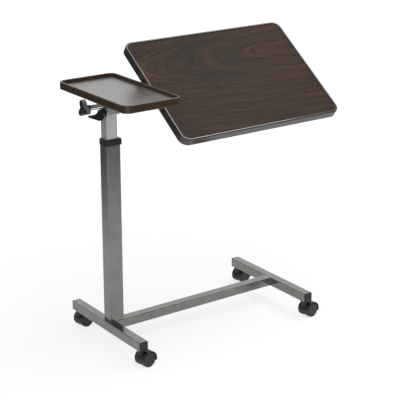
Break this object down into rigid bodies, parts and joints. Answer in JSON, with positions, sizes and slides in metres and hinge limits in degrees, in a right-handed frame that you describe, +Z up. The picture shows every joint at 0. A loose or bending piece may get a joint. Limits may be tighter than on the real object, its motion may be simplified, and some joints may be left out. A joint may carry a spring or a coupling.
{
  "type": "overbed table",
  "caption": "Overbed table on casters: H-shaped tube base, telescoping square mast, level side tray and a walnut laminate main top that tilts by a lobed knob.",
  "frame": {"origin": "on the floor under the middle of the whole table", "axes": "+X along the stretcher from the mast towards the far leg, +Y to the rear along the legs, +Z up; -Y is the front, towards which the main top tilts"},
  "size_m": [0.818, 0.4048, 0.8881],
  "materials": {
    "frame_paint": "semi-gloss metallic dark grey paint",
    "zinc_steel": "bright zinc plating",
    "chrome": "polished plating",
    "plain_steel": "plain steel",
    "black_plastic": "satin black",
    "wheel_plastic": "satin charcoal",
    "tray_moulding": "dark bronze brown",
    "tray_panel": "glossy dark brown",
    "edge_moulding": "satin dark brown",
    "walnut_laminate": "dark walnut laminate"
  },
  "bodies": {
    "base": {"left_leg": "frame_paint", "right_leg": "frame_paint", "stretcher": "frame_paint", "outer_post": "frame_paint", "post_foot_plate": "plain_steel", "leg_bolt": "plain_steel", "stretcher_bolt": "plain_steel", "post_collar": "black_plastic", "gas_spring_cylinder": "black_plastic", "gas_spring_guide": "black_plastic", "left_front_plug": "black_plastic", "left_front_caster_socket": "black_plastic", "left_rear_plug": "black_plastic", "left_rear_caster_socket": "black_plastic", "right_front_plug": "black_plastic", "right_front_caster_socket": "black_plastic", "right_rear_plug": "black_plastic", "right_rear_caster_socket": "black_plastic"},
    "column": {"inner_post": "zinc_steel", "lower_glide": "black_plastic", "gas_spring_rod": "chrome", "release_head": "plain_steel", "head_bracket": "zinc_steel", "pivot_housing": "zinc_steel", "lever_pin": "plain_steel", "tray_support_plate": "plain_steel", "tray_floor": "tray_panel", "tray_rim": "tray_moulding"},
    "main_top": {"top_board": "walnut_laminate", "top_edge": "edge_moulding", "pivot_tube": "plain_steel", "tube_nut": "plain_steel", "left_support_plate": "plain_steel", "right_support_plate": "plain_steel"},
    "tilt_knob": {"tilt_knob": "black_plastic", "clamp_rod": "chrome", "clamp_sleeve": "chrome"},
    "height_lever": {"height_lever": "black_plastic"},
    "release_pin": {"release_pin": "plain_steel"},
    "left_front_caster": {"left_front_caster_hood": "black_plastic", "left_front_caster_stem": "plain_steel", "left_front_caster_axle": "plain_steel"},
    "left_front_caster_wheel_a": {"left_front_caster_wheel_a": "wheel_plastic"},
    "left_front_caster_wheel_b": {"left_front_caster_wheel_b": "wheel_plastic"},
    "left_rear_caster": {"left_rear_caster_hood": "black_plastic", "left_rear_caster_stem": "plain_steel", "left_rear_caster_axle": "plain_steel"},
    "left_rear_caster_wheel_a": {"left_rear_caster_wheel_a": "wheel_plastic"},
    "left_rear_caster_wheel_b": {"left_rear_caster_wheel_b": "wheel_plastic"},
    "right_front_caster": {"right_front_caster_hood": "black_plastic", "right_front_caster_stem": "plain_steel", "right_front_caster_axle": "plain_steel"},
    "right_front_caster_wheel_a": {"right_front_caster_wheel_a": "wheel_plastic"},
    "right_front_caster_wheel_b": {"right_front_caster_wheel_b": "wheel_plastic"},
    "right_rear_caster": {"right_rear_caster_hood": "black_plastic", "right_rear_caster_stem": "plain_steel", "right_rear_caster_axle": "plain_steel"},
    "right_rear_caster_wheel_a": {"right_rear_caster_wheel_a": "wheel_plastic"},
    "right_rear_caster_wheel_b": {"right_rear_caster_wheel_b": "wheel_plastic"}
  },
  "joints": [
    {"name": "column_slide", "type": "slide", "parent": "base", "child": "column", "axis": [0, 0, 1], "range_m": [-0.058, 0.345]},
    {"name": "top_tilt", "type": "hinge", "parent": "column", "child": "main_top", "pos_m": [-0.3207, -0.0025, 0.7515], "axis": [1, 0, 0], "range_deg": [-80.4, 9.6]},
    {"name": "tilt_knob_turn", "type": "hinge", "parent": "column", "child": "tilt_knob", "pos_m": [-0.3855, -0.0025, 0.7515], "axis": [-1, 0, 0], "range_deg": [0, 360]},
    {"name": "height_lever_lift", "type": "hinge", "parent": "column", "child": "height_lever", "pos_m": [-0.3318, -0.0025, 0.734], "axis": [0, 1, 0], "range_deg": [0, 12], "stiffness_Nm_per_rad": 2, "springref_deg": -2.86},
    {"name": "release_pin_press", "type": "slide", "parent": "column", "child": "release_pin", "axis": [0, 0, -1], "range_m": [0, 0.0025]},
    {"name": "left_front_caster_swivel", "type": "hinge", "parent": "base", "child": "left_front_caster", "pos_m": [-0.3375, -0.1785, 0.0529], "axis": [0, 0, 1], "continuous": true},
    {"name": "left_front_caster_wheel_a_spin", "type": "hinge", "parent": "left_front_caster", "child": "left_front_caster_wheel_a", "pos_m": [-0.3217, -0.176, 0.02339], "axis": [-0.1564, 0.9877, 0], "continuous": true},
    {"name": "left_front_caster_wheel_b_spin", "type": "hinge", "parent": "left_front_caster", "child": "left_front_caster_wheel_b", "pos_m": [-0.3217, -0.176, 0.02339], "axis": [-0.1564, 0.9877, 0], "continuous": true},
    {"name": "left_rear_caster_swivel", "type": "hinge", "parent": "base", "child": "left_rear_caster", "pos_m": [-0.3375, 0.1735, 0.0529], "axis": [0, 0, 1], "continuous": true},
    {"name": "left_rear_caster_wheel_a_spin", "type": "hinge", "parent": "left_rear_caster", "child": "left_rear_caster_wheel_a", "pos_m": [-0.3217, 0.176, 0.02339], "axis": [-0.1564, 0.9877, 0], "continuous": true},
    {"name": "left_rear_caster_wheel_b_spin", "type": "hinge", "parent": "left_rear_caster", "child": "left_rear_caster_wheel_b", "pos_m": [-0.3217, 0.176, 0.02339], "axis": [-0.1564, 0.9877, 0], "continuous": true},
    {"name": "right_front_caster_swivel", "type": "hinge", "parent": "base", "child": "right_front_caster", "pos_m": [0.285, -0.1785, 0.0529], "axis": [0, 0, 1], "continuous": true},
    {"name": "right_front_caster_wheel_a_spin", "type": "hinge", "parent": "right_front_caster", "child": "right_front_caster_wheel_a", "pos_m": [0.3008, -0.176, 0.02339], "axis": [-0.1564, 0.9877, 0], "continuous": true},
    {"name": "right_front_caster_wheel_b_spin", "type": "hinge", "parent": "right_front_caster", "child": "right_front_caster_wheel_b", "pos_m": [0.3008, -0.176, 0.02339], "axis": [-0.1564, 0.9877, 0], "continuous": true},
    {"name": "right_rear_caster_swivel", "type": "hinge", "parent": "base", "child": "right_rear_caster", "pos_m": [0.285, 0.1735, 0.0529], "axis": [0, 0, 1], "continuous": true},
    {"name": "right_rear_caster_wheel_a_spin", "type": "hinge", "parent": "right_rear_caster", "child": "right_rear_caster_wheel_a", "pos_m": [0.3008, 0.176, 0.02339], "axis": [-0.1564, 0.9877, 0], "continuous": true},
    {"name": "right_rear_caster_wheel_b_spin", "type": "hinge", "parent": "right_rear_caster", "child": "right_rear_caster_wheel_b", "pos_m": [0.3008, 0.176, 0.02339], "axis": [-0.1564, 0.9877, 0], "continuous": true}
  ],
  "couplings": [
    {"joint": "release_pin_press", "follows": "height_lever_lift", "m_per_rad": 0.0111}
  ]
}
